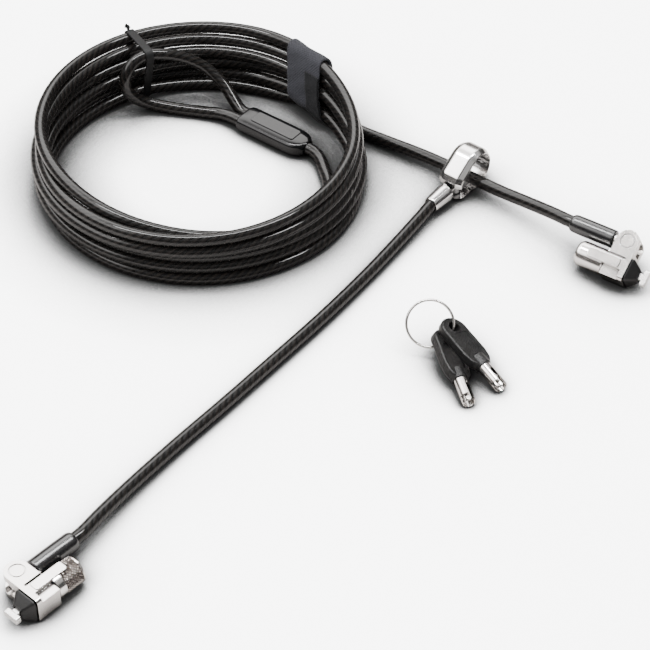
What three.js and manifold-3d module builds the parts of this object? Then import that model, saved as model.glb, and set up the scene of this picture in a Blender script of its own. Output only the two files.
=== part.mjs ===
// A twin-head security cable lock laid out on a flat surface.
// A plastic-coated steel cable is coiled and strapped, with an eye loop at one end and a lock head at
// the other. A chromed collar slides on it and carries a short branch cable with the second lock head.
// Two keys hang on a split ring. Units are millimetres, +Z is up and the surface is at z = 0.
import * as THREE from 'three';
import { mergeVertices } from 'three/addons/utils/BufferGeometryUtils.js';
import Module from 'manifold-3d';

const wasm = await Module();
wasm.setup();

// Driving dimensions
const GAP = 0.3;
const CABLE_R = 2.5;
const CABLE_SIDES = 10;
const CABLE_STEP = 10;

const ORIGIN_X = 8.8;
const ORIGIN_Y = -27.4;

const COIL = {
  x: -49, y: 89.5, inner: 58.3, outer: 68.2, height: 25.6, edge: 3, scaleX: 0.967, scaleY: 1.034,
};
const STRAP = { angle: 44.5, width: 17, wall: 1.1, slack: 0.4, corner: 1.6 };
const TIE = {
  angle: 120.4, width: 4.6, wall: 0.8, inner: 57.8, outer: 68.7, shoulder: 24.5, crest: 26.5,
  strandInner: 47, strandOuter: 53.5, strandLow: 22.4, strandHigh: 28.9, strandFoot: 16.5,
};
const UNDERLAY = 1.6;
const UNDERLAY_MARGIN = 1;

const SLEEVE = { x: -33.2, y: 121.3, angle: -37.5, length: 33, width: 12.8, height: 7.4, core: 20 };
const CRIMP = { start: 7.4, length: 11.6 };

const BARREL_R = 5.1;
const BARREL_LENGTH = 12;
const BLOCK_HALF = 5.3;
const BLOCK_LENGTH = 9.6;
const BLOCK_CORNER = 2.2;
const EAR_WIDTH = 9.1;
const EAR_OFFSET = 9.9;
const EAR_LOW = -4.5;
const EAR_HIGH = 5;
const SLOT_HALF = 2.5;
const SPINDLE_R = 1.25;
const PIN_R = 1;
const PLUG_R = 3.6;
const T_BAR = { start: 5.9, thickness: 1.9, width: 6.6, height: 2.6 };
const GUARD_LENGTH = 4.3;

const BOOT_R = 3.25;
const BOOT_LENGTH = 17;
const NECK_R = 1.7;
const CABLE_IN_BOOT = 9;

const HEAD_A = { x: -97.4, y: -140.1, z: 5.3, heading: 227.1, roll: 0, side: -1, neck: 6.2 };
const HEAD_B = { x: 115.4, y: 21.9, z: 6.7, heading: -33.5, roll: 32, side: 1, neck: 6.4 };

const COLLAR = {
  x: 56.5, y: 83.1, heading: -38.5, width: 11, radius: 8.8, middleY: 1.1, slope: 34, front: -12.3,
  corner: 1.4, wall: 1.6, bevel: 1.3, bevelWidth: 2.2, windowFront: -5.4,
};
const RIVET_Y = -8.4;
const RIVET_TOP = 9;
const FERRULE = { length: 15.6, swing: 0, z: 4.4 };

const RING = { x: 38.6, y: -11, z: 11, radius: 8.7, wire: 0.5, tilt: 50 };
const KEY_HEAD = { length: 23.5, width: 11.4, thickness: 3.6, hole: 2.4, holeInset: 5 };
const KEY_SHAFT = { radius: 2.6, bore: 1.8, length: 11.5, root: 6 };
const KEY_1 = { ringAngle: -51.5, heading: -74.7, pitch: 5.85, roll: -33 };
const KEY_2 = { ringAngle: -16.4, heading: -54.2, pitch: 12.6, roll: -18.8 };

const degrees = THREE.MathUtils.degToRad;

// Materials
const look = (name, color, roughness, metalness) =>
  new THREE.MeshStandardMaterial({ name, color, roughness, metalness });
const coatedCable = () => look('coated_cable', 0x15120f, 0.2, 0);
const blackGloss = () => look('black_gloss_plastic', 0x0a0a0b, 0.18, 0);
const blackMatte = () => look('black_matte_plastic', 0x1c1c1e, 0.55, 0);
const strapFabric = () => look('strap_fabric', 0x2a2a2e, 0.95, 0);
const nickel = () => look('nickel_plated', 0xc9c3bd, 0.16, 1);
const chrome = () => look('chromed_steel', 0xd9d9dc, 0.08, 1);
const steel = () => look('bare_steel', 0xa9a6a0, 0.3, 1);
const aluminium = () => look('swaged_aluminium', 0xb4b5b8, 0.4, 1);

// Solids and geometries
function toSolid(geometry) {
  const bare = geometry.clone();
  bare.deleteAttribute('normal');
  bare.deleteAttribute('uv');
  const merged = mergeVertices(bare, 1e-4);
  const corners = merged.index.array;
  const kept = [];
  for (let i = 0; i < corners.length; i += 3) {
    const [a, b, c] = [corners[i], corners[i + 1], corners[i + 2]];
    if (a !== b && b !== c && c !== a) kept.push(a, b, c);
  }
  return new wasm.Manifold(new wasm.Mesh({
    numProp: 3,
    vertProperties: new Float32Array(merged.attributes.position.array),
    triVerts: new Uint32Array(kept),
  }));
}

function toGeometry(solid) {
  const mesh = solid.getMesh();
  const geometry = new THREE.BufferGeometry();
  geometry.setAttribute('position', new THREE.BufferAttribute(mesh.vertProperties, 3));
  geometry.setIndex(new THREE.BufferAttribute(mesh.triVerts, 1));
  geometry.computeVertexNormals();
  return geometry;
}

function addPiece(parent, name, solid, material) {
  const mesh = new THREE.Mesh(toGeometry(solid), material);
  mesh.name = name;
  parent.add(mesh);
}

function box(x0, x1, y0, y1, z0, z1) {
  const geometry = new THREE.BoxGeometry(x1 - x0, y1 - y0, z1 - z0);
  geometry.translate((x0 + x1) / 2, (y0 + y1) / 2, (z0 + z1) / 2);
  return toSolid(geometry);
}

// A rod along X from x0 to x1
function rodX(radius, x0, x1, sides = 28) {
  const geometry = new THREE.CylinderGeometry(radius, radius, x1 - x0, sides);
  geometry.rotateZ(-Math.PI / 2);
  geometry.translate((x0 + x1) / 2, 0, 0);
  return toSolid(geometry);
}

// An upright rod at (x, y) from z0 to z1
function rodZ(radius, x, y, z0, z1, sides = 24) {
  const geometry = new THREE.CylinderGeometry(radius, radius, z1 - z0, sides);
  geometry.rotateX(Math.PI / 2);
  geometry.translate(x, y, (z0 + z1) / 2);
  return toSolid(geometry);
}

// A body turned about the X axis: the profile is a list of [x, radius] from axis to axis
function turnedX(profile, sides = 28) {
  const points = profile.map(([x, radius]) => new THREE.Vector2(radius, x));
  const geometry = new THREE.LatheGeometry(points, sides);
  geometry.rotateZ(-Math.PI / 2);
  return toSolid(geometry);
}

// A closed outline of [radius, z] points swept round the Z axis
function revolved(outline, sides) {
  const points = outline.map(([radius, z]) => new THREE.Vector2(radius, z));
  points.push(points[0].clone());
  const geometry = new THREE.LatheGeometry(points, sides);
  geometry.rotateX(Math.PI / 2);
  return toSolid(geometry);
}

function extrudedZ(shape, z0, z1, curveSegments = 8) {
  const geometry = new THREE.ExtrudeGeometry(shape, { depth: z1 - z0, bevelEnabled: false, curveSegments });
  geometry.translate(0, 0, z0);
  return toSolid(geometry);
}

// A section drawn in (y, z), extruded along X from x0 to x1
function extrudedX(shape, x0, x1, curveSegments = 8) {
  const geometry = new THREE.ExtrudeGeometry(shape, { depth: x1 - x0, bevelEnabled: false, curveSegments });
  geometry.rotateX(Math.PI / 2);
  geometry.rotateZ(Math.PI / 2);
  geometry.translate(x0, 0, 0);
  return toSolid(geometry);
}

function roundedRectangle(x0, x1, y0, y1, radius) {
  const shape = new THREE.Shape();
  shape.moveTo(x0 + radius, y0);
  shape.lineTo(x1 - radius, y0);
  shape.absarc(x1 - radius, y0 + radius, radius, -Math.PI / 2, 0, false);
  shape.lineTo(x1, y1 - radius);
  shape.absarc(x1 - radius, y1 - radius, radius, 0, Math.PI / 2, false);
  shape.lineTo(x0 + radius, y1);
  shape.absarc(x0 + radius, y1 - radius, radius, Math.PI / 2, Math.PI, false);
  shape.lineTo(x0, y0 + radius);
  shape.absarc(x0 + radius, y0 + radius, radius, Math.PI, Math.PI * 1.5, false);
  return shape;
}

// A cable through hand-set points
function cableTube(points) {
  const route = points.map((p) => new THREE.Vector3(...p));
  const curve = new THREE.CatmullRomCurve3(route, false, 'centripetal');
  const section = new THREE.Shape();
  for (let i = 0; i < CABLE_SIDES; i += 1) {
    const angle = (i / CABLE_SIDES) * Math.PI * 2;
    const x = CABLE_R * Math.cos(angle);
    const y = CABLE_R * Math.sin(angle);
    if (i === 0) section.moveTo(x, y);
    else section.lineTo(x, y);
  }
  section.closePath();
  const steps = Math.max(2, Math.round(curve.getLength() / CABLE_STEP));
  return toSolid(new THREE.ExtrudeGeometry(section, { steps, bevelEnabled: false, extrudePath: curve }));
}

// Cable coil, strap and twist tie
function roundedSection(inner, outer, low, high, edge) {
  const outline = [];
  const corners = [[outer, low, -90], [outer, high, 0], [inner, high, 90], [inner, low, 180]];
  for (const [radius, z, start] of corners) {
    const x0 = radius === outer ? radius - edge : radius + edge;
    const z0 = z === low ? z + edge : z - edge;
    for (let i = 0; i <= 3; i += 1) {
      const angle = degrees(start + i * 30);
      outline.push([x0 + edge * Math.cos(angle), z0 + edge * Math.sin(angle)]);
    }
  }
  return outline;
}

// A slab that crosses one side of the coil, with its middle line at the given angle
function coilSlab(angle, width, z0, z1) {
  return box(0, COIL.outer * 1.4, -width / 2, width / 2, z0, z1).rotate([0, 0, angle]);
}

function overCoil(outline, sides) {
  return revolved(outline, sides).scale([COIL.scaleX, COIL.scaleY, 1]);
}

function coilSolid() {
  const ring = overCoil(roundedSection(COIL.inner, COIL.outer, 0, COIL.height, COIL.edge), 64);
  const underStrap = coilSlab(STRAP.angle, STRAP.width + UNDERLAY_MARGIN * 2, -1, UNDERLAY);
  const underTie = coilSlab(TIE.angle, TIE.width + UNDERLAY_MARGIN * 2, -1, UNDERLAY);
  return ring.subtract(underStrap).subtract(underTie);
}

function strapSolid() {
  const inner = COIL.inner - STRAP.slack;
  const outer = COIL.outer + STRAP.slack;
  const top = COIL.height + STRAP.slack;
  const wall = STRAP.wall;
  const shell = overCoil(roundedSection(inner - wall, outer + wall, 0, top + wall, COIL.edge + wall), 64);
  const hollow = overCoil(roundedSection(inner, outer, wall, top, STRAP.corner), 64);
  return shell.subtract(hollow).intersect(coilSlab(STRAP.angle, STRAP.width, -1, COIL.height * 2));
}

// The tie goes round the coil and the raised strand of the eye loop beside it
function tieSolid() {
  const wall = TIE.wall;
  const hollowOutline = [
    [TIE.inner, wall], [TIE.outer, wall], [TIE.outer, TIE.shoulder], [TIE.outer - 2.2, TIE.crest],
    [TIE.strandOuter, TIE.strandHigh], [TIE.strandInner, TIE.strandHigh], [TIE.strandInner, TIE.strandLow],
    [TIE.inner, TIE.strandFoot],
  ];
  const shellOutline = [
    [TIE.inner - wall, 0], [TIE.outer + wall, 0], [TIE.outer + wall, TIE.shoulder + 0.3],
    [TIE.outer - 1.9, TIE.crest + wall], [TIE.strandOuter + 0.1, TIE.strandHigh + wall],
    [TIE.strandInner - wall, TIE.strandHigh + wall], [TIE.strandInner - wall, TIE.strandLow - 0.4],
    [TIE.inner - wall, TIE.strandFoot - 0.5],
  ];
  const band = overCoil(shellOutline, 72).subtract(overCoil(hollowOutline, 72));
  const cut = band.intersect(coilSlab(TIE.angle, TIE.width, -1, COIL.height * 2));
  const knot = rodZ(1.2, 64.5, 0, 26.6, 29.2, 10).rotate([0, 0, TIE.angle]);
  return cut.add(knot);
}

function addCoil(parent) {
  const group = new THREE.Group();
  group.position.set(COIL.x, COIL.y, 0);
  parent.add(group);
  addPiece(group, 'main_cable_coil', coilSolid(), coatedCable());
  addPiece(group, 'coil_strap', strapSolid(), strapFabric());
  addPiece(group, 'twist_tie', tieSolid(), blackMatte());
}

// Eye loop, its moulded sleeve and the crimp inside it
// The pocket flares at the mouth, where the two strands of the loop part
function sleeveMouth(middle) {
  const shape = new THREE.Shape();
  shape.moveTo(-1, -6);
  shape.lineTo(5, -5.3);
  shape.lineTo(5, 5.3);
  shape.lineTo(-1, 6);
  shape.closePath();
  return extrudedZ(shape, middle - 2.7, middle + 2.7);
}

function sleeveSolid() {
  const half = SLEEVE.width / 2;
  const outside = extrudedX(roundedRectangle(-half, half, 0, SLEEVE.height, 3.4), 0, SLEEVE.length);
  const middle = SLEEVE.height / 2;
  const pocket = extrudedX(roundedRectangle(-5.65, 5.65, middle - 2.9, middle + 2.9, 2.8), -1, SLEEVE.core);
  const exit = rodX(CABLE_R + GAP * 1.5, SLEEVE.core - 1, SLEEVE.length + 1).translate([0, 0, middle]);
  return outside.subtract(pocket).subtract(sleeveMouth(middle)).subtract(exit);
}

function crimpSolid() {
  const middle = SLEEVE.height / 2;
  const section = roundedRectangle(-5.2, 5.2, middle - 2.5, middle + 2.5, 2.4);
  return extrudedX(section, CRIMP.start, CRIMP.start + CRIMP.length);
}

function addEye(parent) {
  const group = new THREE.Group();
  group.position.set(SLEEVE.x, SLEEVE.y, 0);
  group.rotation.z = degrees(SLEEVE.angle);
  parent.add(group);
  addPiece(group, 'eye_sleeve', sleeveSolid(), blackGloss());
  addPiece(group, 'eye_crimp', crimpSolid(), aluminium());
}

const EYE_LOOP_ROUTE = [
  [-26.1, 119.3, 3.7], [-31.5, 123.5, 3.7], [-34.3, 125.65, 3.75], [-37.3, 129.6, 5.6], [-41.8, 135.6, 9.6],
  [-48.7, 139.6, 15], [-56.5, 139.1, 20.4], [-65, 136.9, 24.4], [-73, 134.6, 25.7], [-78.4, 131.3, 24.2],
  [-81.8, 128, 19.4], [-81.6, 127.6, 13.2], [-78, 129.4, 7.4], [-72, 130.4, 4], [-62, 128.9, 2.7],
  [-50, 126.6, 2.6], [-43, 124.6, 3.2], [-37.65, 121.25, 3.7], [-34.87, 119.12, 3.7], [-29.5, 115, 3.7],
];

const EYE_LEAD_ROUTE = [
  [-16.5, 108.5, 3.7], [-7, 101.2, 3.7], [-4.4, 99.1, 3.6], [-2, 95.2, 3.1], [-0.2, 88.3, 2.6],
  [1.2, 81.5, 2.6], [1.6, 75, 2.6],
];

const MAIN_RUN_ROUTE = [
  [15.7, 113.1, 2.6], [26.8, 105.3, 3.3], [38.4, 96.6, 4.5], [46.5, 90.2, 5.1], [55, 82.8, 5.7],
  [67.9, 71.1, 6.9], [79.3, 60.8, 8.9], [88.2, 52, 11], [93.5, 46.9, 11.8], [96.9, 44.3, 11.95],
  [104.2, 39.45, 11.95],
];

const BRANCH_ROUTE = [
  [44.3, 67.8, 4.4], [41.5, 64.2, 4.4], [37.9, 58.4, 4.1], [27.7, 43, 3], [15.7, 24.9, 2.6],
  [-0.9, 1.4, 2.6], [-19.5, -22.9, 2.6], [-36.3, -44.6, 2.6], [-52.8, -65.4, 2.7], [-68.6, -87.2, 3.6], [-77.3, -101, 4.9],
  [-82.2, -109, 5.3], [-85.9, -113.2, 5.3], [-91.8, -119.55, 5.3],
];

// Lock heads. Each is drawn with X towards the T-bar, the lock axis through the origin and the
// block's front face at x = 0. The ear stands on the +Y or -Y side.
function earOutline(side) {
  const half = EAR_WIDTH / 2;
  const shape = new THREE.Shape();
  shape.moveTo(0, side);
  shape.lineTo(0, side * EAR_OFFSET);
  shape.absarc(-half, side * EAR_OFFSET, half, 0, side * Math.PI, side < 0);
  shape.lineTo(-EAR_WIDTH, side);
  shape.closePath();
  return shape;
}

function housingSolid(side) {
  const square = roundedRectangle(-BLOCK_HALF, BLOCK_HALF, -BLOCK_HALF, BLOCK_HALF, BLOCK_CORNER);
  const block = extrudedX(square, -BLOCK_LENGTH, 0);
  const ear = extrudedZ(earOutline(side), EAR_LOW, EAR_HIGH, 12);
  const pinX = -EAR_WIDTH / 2;
  const slotStart = side * (EAR_OFFSET - 3.6);
  const slotEnd = side * (EAR_OFFSET + EAR_WIDTH);
  const slot = box(-EAR_WIDTH - 1, 1, Math.min(slotStart, slotEnd), Math.max(slotStart, slotEnd),
    -SLOT_HALF, SLOT_HALF);
  const pinHole = rodZ(PIN_R + 0.1, pinX, side * EAR_OFFSET, EAR_LOW - 1, 3.6);
  const spindleBore = rodX(SPINDLE_R + GAP, -BLOCK_LENGTH - 1, 1);
  return block.add(ear).subtract(slot).subtract(pinHole).subtract(spindleBore);
}

function tipGuardSolid() {
  const base = 4.6;
  const nose = 2.3;
  const geometry = new THREE.CylinderGeometry(nose * Math.SQRT2, base * Math.SQRT2, GUARD_LENGTH, 4);
  geometry.rotateY(Math.PI / 4);
  geometry.rotateZ(-Math.PI / 2);
  geometry.translate(GAP + GUARD_LENGTH / 2, 0, 0);
  return toSolid(geometry).subtract(rodX(SPINDLE_R + GAP, 0, GUARD_LENGTH + 1));
}

function tBarSolid() {
  const spindle = rodX(SPINDLE_R, -BLOCK_LENGTH - 2.9, T_BAR.start + 0.5);
  const half = T_BAR.width / 2;
  const lift = T_BAR.height / 2;
  const bar = extrudedX(roundedRectangle(-half, half, -lift, lift, 0.6), T_BAR.start,
    T_BAR.start + T_BAR.thickness, 3);
  return spindle.add(bar);
}

function barrelSolid() {
  const front = -BLOCK_LENGTH - GAP;
  const back = -BLOCK_LENGTH - BARREL_LENGTH;
  const shell = turnedX([
    [back, 0], [back, BARREL_R - 0.7], [back + 0.7, BARREL_R], [front - 0.3, BARREL_R],
    [front, BARREL_R - 0.3], [front, 0],
  ], 36);
  const plugBore = rodX(PLUG_R + GAP, back - 1, front - 3);
  const spindleBore = rodX(SPINDLE_R + GAP, front - 4, front + 1);
  return shell.subtract(plugBore).subtract(spindleBore);
}

function plugSolid() {
  const back = -BLOCK_LENGTH - BARREL_LENGTH + 0.4;
  const front = -BLOCK_LENGTH - GAP * 2 - 3;
  const depth = 5;
  const keyway = turnedX([[back - 1, 0], [back - 1, KEY_SHAFT.radius + 0.2],
    [back + depth, KEY_SHAFT.radius + 0.2], [back + depth, 0]]);
  const post = rodX(KEY_SHAFT.bore - 0.2, back, back + depth + 0.5);
  return rodX(PLUG_R, back, front).subtract(keyway).add(post);
}

function pivotPinSolid(side) {
  return rodZ(PIN_R, -EAR_WIDTH / 2, side * EAR_OFFSET, EAR_LOW + GAP, 3.3);
}

// The anchor turns on the pivot pin, which is its origin; its neck points along -X
function anchorSolid(neck) {
  const eye = rodZ(2.9, 0, 0, -SLOT_HALF + GAP, SLOT_HALF - GAP);
  const collars = turnedX([
    [-neck - 5, 0], [-neck - 5, NECK_R], [-neck + 0.2, NECK_R], [-neck + 0.2, 2.1], [-neck + 1.1, 2.1],
    [-neck + 1.1, NECK_R], [0, NECK_R], [0, 0],
  ], 20);
  return eye.add(collars).subtract(rodZ(PIN_R + 0.15, 0, 0, -4, 4));
}

function bootSolid(neck) {
  const front = -neck - 0.1;
  const back = front - BOOT_LENGTH;
  const outside = turnedX([
    [back, 0], [back, BOOT_R - 0.6], [back + 0.5, BOOT_R - 0.2], [back + 1.6, BOOT_R],
    [front - 0.6, BOOT_R], [front, BOOT_R - 0.5], [front, 0],
  ], 28);
  const cableBore = rodX(CABLE_R + GAP, back - 1, back + CABLE_IN_BOOT + GAP);
  const neckBore = rodX(NECK_R + GAP, back + CABLE_IN_BOOT, front + 1);
  return outside.subtract(cableBore).subtract(neckBore);
}

function addHead(parent, letter, head) {
  const group = new THREE.Group();
  group.position.set(head.x, head.y, head.z);
  group.rotation.set(degrees(head.roll), 0, degrees(head.heading), 'ZYX');
  parent.add(group);
  addPiece(group, `housing_${letter}`, housingSolid(head.side), nickel());
  addPiece(group, `tip_guard_${letter}`, tipGuardSolid(), blackMatte());
  addPiece(group, `t_bar_${letter}`, tBarSolid(), steel());
  addPiece(group, `barrel_${letter}`, barrelSolid(), nickel());
  addPiece(group, `key_plug_${letter}`, plugSolid(), nickel());
  addPiece(group, `pivot_pin_${letter}`, pivotPinSolid(head.side), steel());
  const hinge = new THREE.Group();
  hinge.position.set(-EAR_WIDTH / 2, head.side * EAR_OFFSET, 0);
  group.add(hinge);
  addPiece(hinge, `anchor_${letter}`, anchorSolid(head.neck), nickel());
  addPiece(hinge, `boot_${letter}`, bootSolid(head.neck), blackGloss());
}

// Sliding collar: X runs along the main cable, Y across it. The loop stands on the surface, round at
// the back, with a flat top that slopes down to the fork.
function collarOutline(inset, frontY) {
  const radius = COLLAR.radius - inset;
  const topAngle = Math.PI / 2 + degrees(COLLAR.slope);
  const fall = Math.tan(degrees(COLLAR.slope));
  const topY = COLLAR.middleY + radius * Math.cos(topAngle);
  const topZ = COLLAR.radius + radius * Math.sin(topAngle);
  const flatZ = (y) => topZ - (topY - y) * fall;
  const { corner } = COLLAR;
  const shape = new THREE.Shape();
  shape.moveTo(frontY + corner, inset);
  shape.lineTo(COLLAR.middleY, inset);
  shape.absarc(COLLAR.middleY, COLLAR.radius, radius, -Math.PI / 2, topAngle, false);
  shape.lineTo(frontY + corner, flatZ(frontY + corner));
  shape.lineTo(frontY, flatZ(frontY) - corner);
  shape.lineTo(frontY, inset + corner);
  shape.closePath();
  return shape;
}

function collarSolid() {
  const half = COLLAR.width / 2;
  const flat = half - COLLAR.bevelWidth;
  const middle = extrudedX(collarOutline(0, COLLAR.front), -flat, flat, 14);
  const faces = extrudedX(collarOutline(COLLAR.bevel, COLLAR.front + COLLAR.bevel), -half, half, 14);
  const body = wasm.Manifold.hull([middle, faces]);
  const window = extrudedX(collarOutline(COLLAR.wall, COLLAR.windowFront), -half - 1, half + 1, 14);
  const fork = box(-half - 1, half + 1, COLLAR.front - 1, RIVET_Y + 3.1, FERRULE.z - 2.4, FERRULE.z + 2.4);
  const rivetHole = rodZ(1.2, 0, RIVET_Y, -1, RIVET_TOP + GAP);
  return body.subtract(window).subtract(fork).subtract(rivetHole);
}

// The ferrule turns on the rivet, which is its origin; it points along -Y
function ferruleSolid() {
  const eye = rodZ(2.8, 0, 0, FERRULE.z - 2.1, FERRULE.z + 2.1);
  const lip = RIVET_Y - COLLAR.front;
  const end = FERRULE.length;
  const tube = turnedX([
    [0, 0], [0, 2], [lip + 0.4, 2], [lip + 1.2, 3.7], [lip + 3.5, 3.9], [end - 0.6, 3.4], [end, 3.1],
    [end, 0],
  ], 24);
  const socket = rodX(CABLE_R + GAP, end - 5, end + 1);
  const rivetHole = rodZ(1.3, 0, 0, 0, RIVET_TOP);
  const laid = tube.subtract(socket).rotate([0, 0, -90]).translate([0, 0, FERRULE.z]);
  return eye.add(laid).subtract(rivetHole);
}

function addCollar(parent) {
  const group = new THREE.Group();
  group.position.set(COLLAR.x, COLLAR.y, 0);
  group.rotation.z = degrees(COLLAR.heading);
  parent.add(group);
  addPiece(group, 'collar_ring', collarSolid(), chrome());
  addPiece(group, 'collar_rivet', rodZ(1, 0, RIVET_Y, 0.4, RIVET_TOP, 20), steel());
  const hinge = new THREE.Group();
  hinge.position.y = RIVET_Y;
  hinge.rotation.z = degrees(FERRULE.swing);
  group.add(hinge);
  addPiece(hinge, 'collar_ferrule', ferruleSolid(), chrome());
}

// Keys on a split ring
function keyHeadSolid() {
  const half = KEY_HEAD.width / 2;
  const shape = new THREE.Shape();
  const end = -KEY_HEAD.holeInset;
  const shoulder = KEY_HEAD.length - KEY_HEAD.holeInset;
  shape.moveTo(end + 3.5, -half + 0.8);
  shape.lineTo(shoulder - 7, -half);
  shape.lineTo(shoulder, -half + 1.9);
  shape.lineTo(shoulder, half - 1.9);
  shape.lineTo(shoulder - 7, half);
  shape.lineTo(end + 3.5, half - 0.8);
  shape.absarc(end + half - 0.8, 0, half - 0.8, Math.PI * 0.62, Math.PI * 1.38, false);
  shape.closePath();
  const thick = KEY_HEAD.thickness / 2;
  const slab = extrudedZ(shape, -thick, thick, 12);
  const hole = rodZ(KEY_HEAD.hole, 0, 0, -thick - 1, thick + 1);
  const collar = rodX(3.3, shoulder - 5, shoulder + 0.6, 20);
  const socket = rodX(KEY_SHAFT.radius + GAP, shoulder - KEY_SHAFT.root + GAP, shoulder + 1);
  return slab.add(collar).subtract(hole).subtract(socket);
}

function keyShaftSolid() {
  const shoulder = KEY_HEAD.length - KEY_HEAD.holeInset;
  const start = shoulder - KEY_SHAFT.root + GAP * 2;
  const end = shoulder + KEY_SHAFT.length;
  const tube = rodX(KEY_SHAFT.radius, start, end);
  const bore = rodX(KEY_SHAFT.bore, end - 9, end + 1);
  const slot = box(end - 8, end + 1, 0, KEY_SHAFT.radius + 1, -0.7, 0.7);
  return tube.subtract(bore).subtract(slot);
}

function ringPoint(angle) {
  const turn = degrees(angle);
  const tilt = degrees(RING.tilt);
  return new THREE.Vector3(
    RING.x + RING.radius * Math.cos(turn),
    RING.y + RING.radius * Math.sin(turn) * Math.cos(tilt),
    RING.z + RING.radius * Math.sin(turn) * Math.sin(tilt),
  );
}

function addKey(parent, number, key) {
  const group = new THREE.Group();
  group.position.copy(ringPoint(key.ringAngle));
  group.rotation.set(degrees(key.roll), degrees(key.pitch), degrees(key.heading), 'ZYX');
  parent.add(group);
  addPiece(group, `key_${number}_head`, keyHeadSolid(), blackMatte());
  addPiece(group, `key_${number}_shaft`, keyShaftSolid(), nickel());
}

function addKeys(parent) {
  const group = new THREE.Group();
  group.position.set(RING.x, RING.y, RING.z);
  group.rotation.x = degrees(RING.tilt);
  parent.add(group);
  const wire = new THREE.TorusGeometry(RING.radius, RING.wire, 8, 48);
  addPiece(group, 'key_ring', toSolid(wire), steel());
  addKey(parent, 1, KEY_1);
  addKey(parent, 2, KEY_2);
}

const lock = new THREE.Group();
lock.position.set(-ORIGIN_X, -ORIGIN_Y, 0);
addCoil(lock);
addEye(lock);
addPiece(lock, 'eye_loop', cableTube(EYE_LOOP_ROUTE), coatedCable());
addPiece(lock, 'eye_lead', cableTube(EYE_LEAD_ROUTE), coatedCable());
addPiece(lock, 'main_cable_run', cableTube(MAIN_RUN_ROUTE), coatedCable());
addHead(lock, 'b', HEAD_B);
addCollar(lock);
addPiece(lock, 'branch_cable', cableTube(BRANCH_ROUTE), coatedCable());
addHead(lock, 'a', HEAD_A);
addKeys(lock);

const root = new THREE.Group();
root.add(lock);
root.updateMatrixWorld(true);

export default root;
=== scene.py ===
import math
import random

import bmesh
import bpy
import numpy as np
from mathutils import Matrix, Vector
from mathutils.geometry import convex_hull_2d


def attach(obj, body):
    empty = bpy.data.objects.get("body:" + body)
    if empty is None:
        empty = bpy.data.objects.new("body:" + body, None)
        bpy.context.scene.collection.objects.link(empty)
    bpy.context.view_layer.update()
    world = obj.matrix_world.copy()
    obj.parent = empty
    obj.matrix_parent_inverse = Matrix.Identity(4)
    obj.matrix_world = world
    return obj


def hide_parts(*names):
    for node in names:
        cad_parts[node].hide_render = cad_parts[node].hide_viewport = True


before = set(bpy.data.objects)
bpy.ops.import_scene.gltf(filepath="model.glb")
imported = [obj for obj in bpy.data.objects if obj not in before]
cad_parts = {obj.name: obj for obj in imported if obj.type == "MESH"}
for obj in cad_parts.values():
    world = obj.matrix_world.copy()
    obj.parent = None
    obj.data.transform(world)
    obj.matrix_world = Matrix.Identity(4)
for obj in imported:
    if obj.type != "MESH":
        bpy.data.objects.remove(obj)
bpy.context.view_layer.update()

MM = 0.001
TAU = math.tau
# The layout's zero point in the row frame, in millimetres, as in part.mjs
ORIGIN = Vector((8.8, -27.4, 0.0))

# Camera -------------------------------------------------------------------------------------
VIEW_ELEVATION = math.radians(43.0)
VIEW_DISTANCE = 853.93
SENSOR = 36.0
LENS = 126.277


def at(x, y, z=0.0):
    """A layout point, in the row frame, in metres."""
    return (Vector((x, y, z)) - ORIGIN) * MM


def make_camera():
    data = bpy.data.cameras.new("camera")
    data.sensor_width = SENSOR
    data.lens = LENS
    camera = bpy.data.objects.new("camera", data)
    bpy.context.scene.collection.objects.link(camera)
    back = Vector((0, -math.cos(VIEW_ELEVATION), math.sin(VIEW_ELEVATION)))
    camera.location = at(0, 0) + back * VIEW_DISTANCE * MM
    camera.rotation_mode = "QUATERNION"
    camera.rotation_quaternion = (-back).to_track_quat("-Z", "Y")
    bpy.context.scene.camera = camera


make_camera()


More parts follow.
